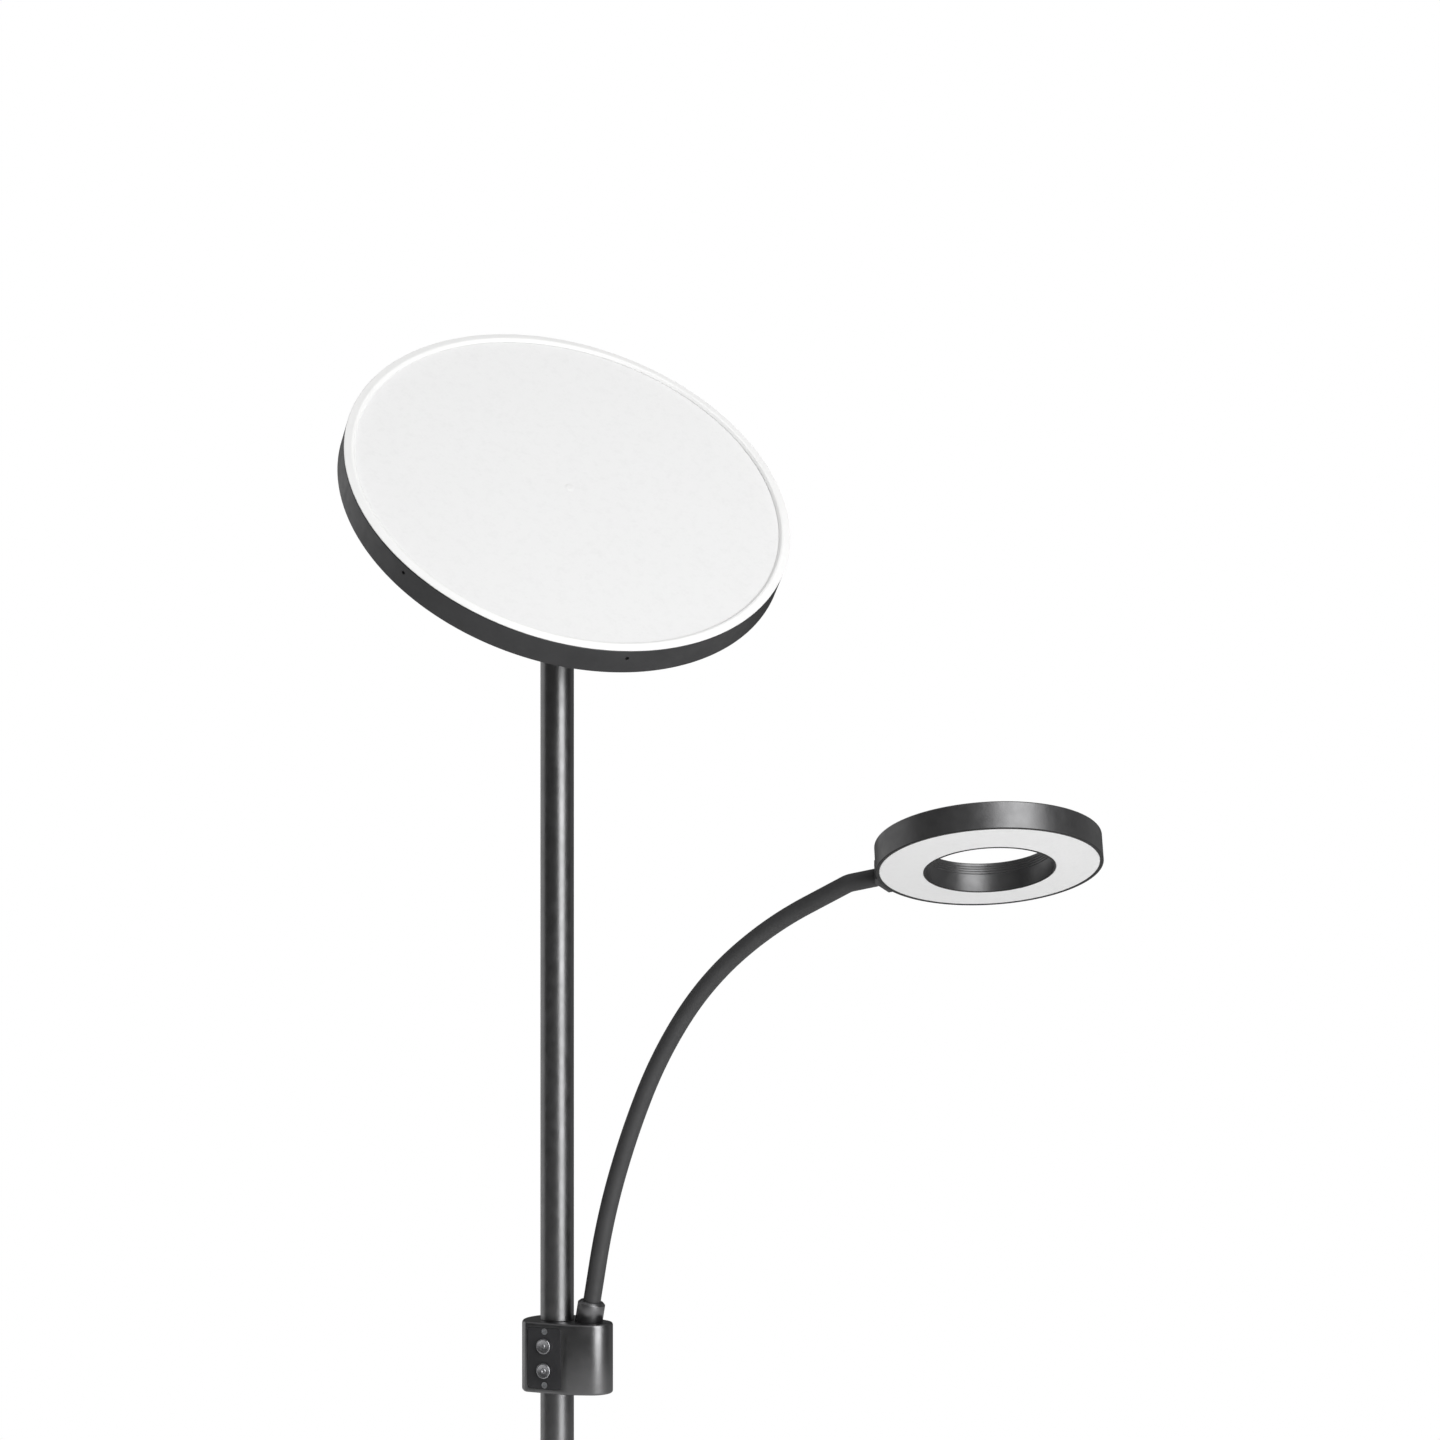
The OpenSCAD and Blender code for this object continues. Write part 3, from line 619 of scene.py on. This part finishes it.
# The neck's shape at rest: a leaning root, five links that turn it further over, and a straight tip
NECK_R = 5.75 * MM
NECK_LEAN = math.radians(10)
NECK_ROOT = 30 * MM
LINK = 58 * MM
LINK_BENDS = [math.radians(bend) for bend in (7.3, 6, 11.3, 15.8, 12.8)]
TIP = 32.6 * MM
ELBOW_R = 18 * MM
STEM_R = 4.45 * MM
# The ends listed for a stretch of the sleeve lie this far on each side of its hinge
BLEND_HALF = 27 * MM
BRACKET_X = 76 * MM
SLEEVE_GAP = 0.3 * MM


def heading(lean):
    return Vector((math.sin(lean), 0, math.cos(lean)))


neck_start = joint_place("neck_bend") - heading(NECK_LEAN) * NECK_ROOT
neck_place = axes(neck_start, heading(NECK_LEAN), Vector((1, 0, 0)))


def bend_points(start, lean, length, bend, steps):
    """Points along an arc in the arm's plane, without its first point."""
    radius = length / bend
    points = []
    for i in range(1, steps + 1):
        turn = lean + bend * i / steps
        along = math.sin(turn) - math.sin(lean)
        points.append(start + radius * Vector((math.cos(lean) - math.cos(turn), 0, along)))
    return points


def neck_line():
    """The neck's centre line, in steps of about 1 mm, and the index of the middle of each link."""
    path = [neck_place @ Vector((0, 0, z * MM)) for z in range(-12, 30)] + [joint_place("neck_bend")]
    middles = []
    lean = NECK_LEAN
    steps = round(LINK / MM)
    for bend in LINK_BENDS:
        middles.append(len(path) - 1 + steps // 2)
        path += bend_points(path[-1], lean, LINK, bend, steps)
        lean += bend
    swing = math.acos(max(-1.0, min(1.0, heading(lean).dot(ring_axis))))
    cut = ELBOW_R * math.tan(swing / 2)
    straight = TIP - cut
    path += [path[-1] + heading(lean) * (straight * i / 30) for i in range(1, 31)]
    path += bend_points(path[-1], lean, ELBOW_R * swing, swing, 12)
    end = joint_place("ring_roll") - ring_axis * (BRACKET_X + SLEEVE_GAP)
    reach = end - path[-1]
    path += [path[-1] + reach * (i / 10) for i in range(1, 11)]
    return path, middles


def build_neck():
    """Six stretches of sleeve meet at the links' middles."""
    path, middles = neck_line()
    stops = [0] + middles + [len(path) - 1]
    inner = ["neck_root"] + [f"neck_link_{i}" for i in range(1, 6)]
    for k, node in enumerate(inner):
        part = path[stops[k]:stops[k + 1] + 1]
        section = [NECK_R] * len(part)
        covered = [node]
        if k == 5:
            # The sleeve's end is rounded over, and the stem goes on into the bracket
            last = part[-1]
            part = part + [last + ring_axis * d * MM for d in (0.01, 0.02, 9.5)]
            section[-1] = NECK_R - 0.3 * MM
            section += [NECK_R - 0.5 * MM, STEM_R, STEM_R]
            covered += ["neck_tip", "neck_elbow", "ring_stem"]
        sleeve = sweep(f"neck_sleeve_{k}", part, section, "neck_sleeve", covered)
        sharpen(sleeve, 50)
        if k == 5:
            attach(sleeve, "neck_5")
            continue
        middle = joint_place(NECK_JOINTS[k])
        along = tangent_at(path, middle)
        ends = [(NECK_BODIES[k], middle - along * BLEND_HALF),
                (NECK_BODIES[k + 1], middle + along * BLEND_HALF)]
        if k == 4:
            # The last hinge's ends are listed from its far end
            ends.reverse()
        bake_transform(sleeve)


def tangent_at(path, point):
    nearest = min(range(1, len(path) - 1), key=lambda i: (path[i] - point).length)
    return (path[nearest + 1] - path[nearest - 1]).normalized()


# ---------------------------------------------------------------- reading ring

# Radii and heights of the ring's section, in millimetres
RING_R = 70.9
RING_HOLE_R = 40
RING_HALF = 8.8
RING_LIP_Z = -10.55
# Faces of the shell below this height belong to its two edges
RING_EDGE_Z = -8.4


def blacken_edges(shell):
    """The two narrow edges beside the diffuser are black."""
    shell.data.materials.append(MATERIALS["ring_edge"])
    edge_height = (ring_place @ Vector((0, 0, RING_EDGE_Z * MM))).dot(ring_up)
    for face in shell.data.polygons:
        if face.center.dot(ring_up) < edge_height:
            face.material_index = 1


def build_ring():
    # Four grooves run round the wall of the hole
    groove_tops = [6.6 - 1.6 * i for i in range(4)]
    corners = [(RING_R, -RING_HALF, 0.5), (RING_R, RING_HALF, 0.9), (RING_HOLE_R, RING_HALF, 0.9)]
    for top in groove_tops:
        corners += [(RING_HOLE_R, top, 0.3), (40.4, top - 0.2, 0.15), (40.4, top - 0.5, 0.15),
                    (RING_HOLE_R, top - 0.7, 0.3)]
    corners += [(RING_HOLE_R, RING_LIP_Z, 0.35), (41.2, RING_LIP_Z, 0.35), (41.2, 7.3, 0), (68.6, 7.3, 0),
                (68.6, -RING_HALF, 0.4)]
    housing = lathe("ring_shell", outline(scaled(corners), support=0.00015), ring_place, "ring_metal",
                    ["ring_housing"], 256)
    sharpen(housing, 60)
    blacken_edges(housing)
    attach(housing, "reading_head")

    corners = [(41.3, -10.35, 0.5), (68.5, -8.6, 0.4), (68.5, -6.6, 0), (41.3, -8.35, 0)]
    lens = lathe("ring_lens", outline(scaled(corners)), ring_place, "ring_opal", ["ring_diffuser"], 256)
    sharpen(lens, 60)
    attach(lens, "reading_head")

    # One end of the bracket is square, and the other tapers into the wall
    foot = RING_R * MM - 1 * MM
    points = outline([(-BRACKET_X, -NECK_R, 1.2 * MM), (-71.8 * MM, -14.5 * MM, 0.8 * MM),
                      (-foot, -14.5 * MM, 0), (-foot, 14 * MM, 0), (-BRACKET_X, 14 * MM, 1 * MM)],
                     support=NO_SUPPORT)
    block = prism("ring_bracket_block", points, -6.5 * MM, 6.5 * MM, ring_place, "cover_plastic",
                  ["ring_bracket"], 0.7 * MM)
    bore = axes(ring_place @ Vector((-BRACKET_X, 0, 0)), ring_axis, UP)
    drill(block, bore, 4.6 * MM, -1 * MM, 7 * MM)
    screw = axes(ring_place @ Vector((-73.4 * MM, 0, 0)), ring_up, ring_axis)
    drill(block, screw, 1.55 * MM, 0, 8 * MM)
    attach(block, "reading_head")


# ---------------------------------------------------------------- disc head

# Radii of the head's section, and its heights above the tilt axis, in millimetres
HEAD_R = 150
HEAD_BACK = 12.5
HEAD_FACE = 31.7
LENS_R = 146.2
LENS_BACK = 29.7

RIM_SCREWS = 6
RIM_SCREW_START = math.radians(0.4)
RIM_SCREW_Z = 25.7 * MM
RIM_HOLE_R = 1.35 * MM


def build_head():
    corners = [(4, HEAD_BACK, 0.2), (HEAD_R, HEAD_BACK, 1.0), (HEAD_R, HEAD_FACE, 0.35),
               (148.5, HEAD_FACE, 0), (148.5, 14, 0.4), (4, 14, 0)]
    pan = lathe("head_shell", outline(scaled(corners)), head_place, "head_metal", ["head_pan"], 288)
    for i in range(RIM_SCREWS):
        turn = Matrix.Rotation(RIM_SCREW_START + 2 * math.pi * i / RIM_SCREWS, 4, "Z")
        outward = axes(Vector((0, 0, RIM_SCREW_Z)), Vector((1, 0, 0)), UP)
        drill(pan, head_place @ turn @ outward, RIM_HOLE_R, 145 * MM, 155 * MM)
    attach(pan, "main_head")

    # The crest is near the bezel's inner edge, and a shadow gap parts the bezel from the pan
    corners = [(142.0, HEAD_FACE, 0.3), (144, 33.5, 1), (145.2, 33.7, 0.6), (HEAD_R, 32.7, 0.5),
               (HEAD_R, 32.1, 0.2), (148.4, 32.1, 0), (148.4, 22, 0.2), (146.4, 22, 0.2),
               (146.4, HEAD_FACE, 0)]
    bezel = lathe("head_rim", outline(scaled(corners)), head_place, "white_plastic", ["head_bezel"], 288)
    sharpen(bezel, 60)
    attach(bezel, "main_head")

    # The gate mark of the moulding stands a little proud in the middle
    corners = [(0, 32.05, 0), (2, 32, 0.4), (3.4, HEAD_FACE, 0.4), (LENS_R, HEAD_FACE, 0.2),
               (LENS_R, LENS_BACK, 0.2), (0, LENS_BACK, 0)]
    lens = lathe("head_lens", outline(scaled(corners), closed=False), head_place, "head_opal",
                 ["head_diffuser"], 256, closed=False)
    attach(lens, "main_head")


# ---------------------------------------------------------------- swivel and tilt

TONGUE_R = 8 * MM
WAIST = 7 * MM
WAIST_Z = -17.5 * MM
BOLT_HOLE_R = 3.05 * MM
# Draws in the X and Z of a place, and extrudes along its -Y
SIDE_VIEW = Matrix(((1, 0, 0, 0), (0, 0, -1, 0), (0, 1, 0, 0), (0, 0, 0, 1)))


def arc_points(radius, start, end, steps):
    """Points of an arc about the origin, with angles in degrees."""
    turns = [math.radians(start + (end - start) * i / steps) for i in range(steps + 1)]
    return [(radius * math.cos(turn), radius * math.sin(turn)) for turn in turns]


def build_knuckle():
    corners = [(2.5, -42, 0), (6, -42, 0.4), (6, -22.7, 0), (11, -22.7, 0.5), (11, -17, 1.2), (2.5, -17, 0)]
    collar = lathe("knuckle_collar", outline(scaled(corners)), knuckle_place, "head_metal", (), 96)
    sharpen(collar, 50)
    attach(collar, "swivel")
    # The round end narrows to a straight waist
    dip = math.degrees(math.acos(WAIST / TONGUE_R))
    points = [(WAIST, WAIST_Z)] + arc_points(TONGUE_R, -dip, 180 + dip, 28) + [(-WAIST, WAIST_Z)]
    tongue = prism("knuckle_tongue", points, -7.95 * MM, 7.95 * MM, knuckle_place @ SIDE_VIEW, "head_metal",
                   ["head_knuckle"], 0.8 * MM)
    drill(tongue, knuckle_place @ SIDE_VIEW, BOLT_HOLE_R, -10 * MM, 10 * MM)
    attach(tongue, "swivel")


def build_bracket():
    plate = prism("bracket_plate", rounded_box(14 * MM, 20 * MM, 3 * MM), 10.5 * MM, 12.5 * MM, head_place,
                  "head_metal", ["tilt_bracket"], 0.4 * MM)
    drill(plate, head_place, 4 * MM, 0, 20 * MM)
    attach(plate, "main_head")
    points = [(TONGUE_R, 11 * MM), (-TONGUE_R, 11 * MM)] + arc_points(TONGUE_R, 180, 360, 24)
    for side, low, high in (("left", 9, 12), ("right", -12, -9)):
        ear = prism("bracket_ear_" + side, points, low * MM, high * MM, head_place @ SIDE_VIEW, "head_metal",
                    (), 0.5 * MM)
        drill(ear, head_place @ SIDE_VIEW, BOLT_HOLE_R, -20 * MM, 20 * MM)
        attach(ear, "main_head")


build_poles()
build_base()
build_hub()
build_neck()
build_ring()
build_head()
build_knuckle()
build_bracket()

# ---------------------------------------------------------------- studio

# The camera is level, at CAMERA_TURN about the pole, and looks a little to the pole's right
CAMERA_TURN = math.radians(25.5)
CAMERA_HEIGHT = 1.5895
CAMERA_DISTANCE = 2.495
CAMERA_SIDE = 0.1069
CAMERA_LENS = 95

FLOOR_R = 5.5
HORIZON_GLOW = 0.08
OVERHEAD_GLOW = 0.55

# Each light's angle in degrees, distance, height, size and power
LIGHT_TARGET = Vector((0.1, 0, 1.5))
LIGHTS = {
    "key": (34.5, 3.7, 3.0, (2.65, 5.8), 225),
    "side": (-122, 3.8, 1.85, (4.2, 3.4), 30),
    "edge": (125, 3.5, 1.8, (2.5, 3.0), 4),
}

right = Vector((math.cos(CAMERA_TURN), math.sin(CAMERA_TURN), 0))
back = Vector((math.sin(CAMERA_TURN), -math.cos(CAMERA_TURN), 0))


def build_camera():
    data = bpy.data.cameras.new("camera")
    data.lens = CAMERA_LENS
    data.sensor_width = 36
    data.clip_end = 100
    camera = bpy.data.objects.new("camera", data)
    camera.location = right * CAMERA_SIDE + back * CAMERA_DISTANCE + UP * CAMERA_HEIGHT
    camera.rotation_euler = (math.radians(90), 0, CAMERA_TURN)
    bpy.context.scene.collection.objects.link(camera)
    bpy.context.scene.camera = camera


def area_light(name, turn, distance, height, size, power):
    """A softbox at an angle right of the camera, seen from the pole, aimed at the lamp's upper part."""
    data = bpy.data.lights.new(name, "AREA")
    data.shape = "RECTANGLE"
    data.size, data.size_y = size
    data.energy = power
    light = bpy.data.objects.new(name, data)
    angle = math.radians(turn)
    light.location = (back * math.cos(angle) + right * math.sin(angle)) * distance + UP * height
    light.rotation_euler = (light.location - LIGHT_TARGET).to_track_quat("Z", "Y").to_euler()
    bpy.context.scene.collection.objects.link(light)


def build_floor():
    count = 128
    turns = [2 * math.pi * i / count for i in range(count)]
    verts = [(FLOOR_R * math.cos(turn), FLOOR_R * math.sin(turn), 0) for turn in turns]
    mesh = bpy.data.meshes.new("floor")
    mesh.from_pydata(verts, [], [list(range(count))])
    material, tree, shader = new_material("floor")
    tree.links.new(tint(tree, spread(tree, noise(tree, 2, 2), 0, 1), (0.86, 0.86, 0.86), (0.9, 0.9, 0.9)),
                   shader.inputs["Base Color"])
    shader.inputs["Roughness"].default_value = 0.8
    mesh.materials.append(material)
    floor = bpy.data.objects.new("floor", mesh)
    bpy.context.scene.collection.objects.link(floor)


def build_world():
    """White where the camera looks past the lamp. Its light comes from overhead, and fades to the horizon."""
    world = bpy.data.worlds.new("studio")
    bpy.context.scene.world = world
    world.use_nodes = True
    tree = world.node_tree
    tree.nodes.clear()
    seen = add(tree, "ShaderNodeBackground")
    seen.inputs["Strength"].default_value = 1.0
    direction = add(tree, "ShaderNodeSeparateXYZ")
    tree.links.new(add(tree, "ShaderNodeTexCoord").outputs["Generated"], direction.inputs[0])
    fade = add(tree, "ShaderNodeMapRange", interpolation_type="SMOOTHSTEP")
    fade.inputs["From Min"].default_value = 0.55
    fade.inputs["From Max"].default_value = 1.0
    fade.inputs["To Min"].default_value = HORIZON_GLOW
    fade.inputs["To Max"].default_value = OVERHEAD_GLOW
    tree.links.new(direction.outputs["Z"], fade.inputs["Value"])
    glow = add(tree, "ShaderNodeBackground")
    tree.links.new(fade.outputs["Result"], glow.inputs["Strength"])
    for background in (seen, glow):
        background.inputs["Color"].default_value = (1, 1, 1, 1)
    mix = add(tree, "ShaderNodeMixShader")
    tree.links.new(add(tree, "ShaderNodeLightPath").outputs["Is Camera Ray"], mix.inputs[0])
    tree.links.new(glow.outputs[0], mix.inputs[1])
    tree.links.new(seen.outputs[0], mix.inputs[2])
    out = add(tree, "ShaderNodeOutputWorld")
    tree.links.new(mix.outputs[0], out.inputs["Surface"])


bpy.context.scene.view_settings.view_transform = "Standard"
build_camera()
build_floor()
build_world()
for name, row in LIGHTS.items():
    area_light(name, *row)
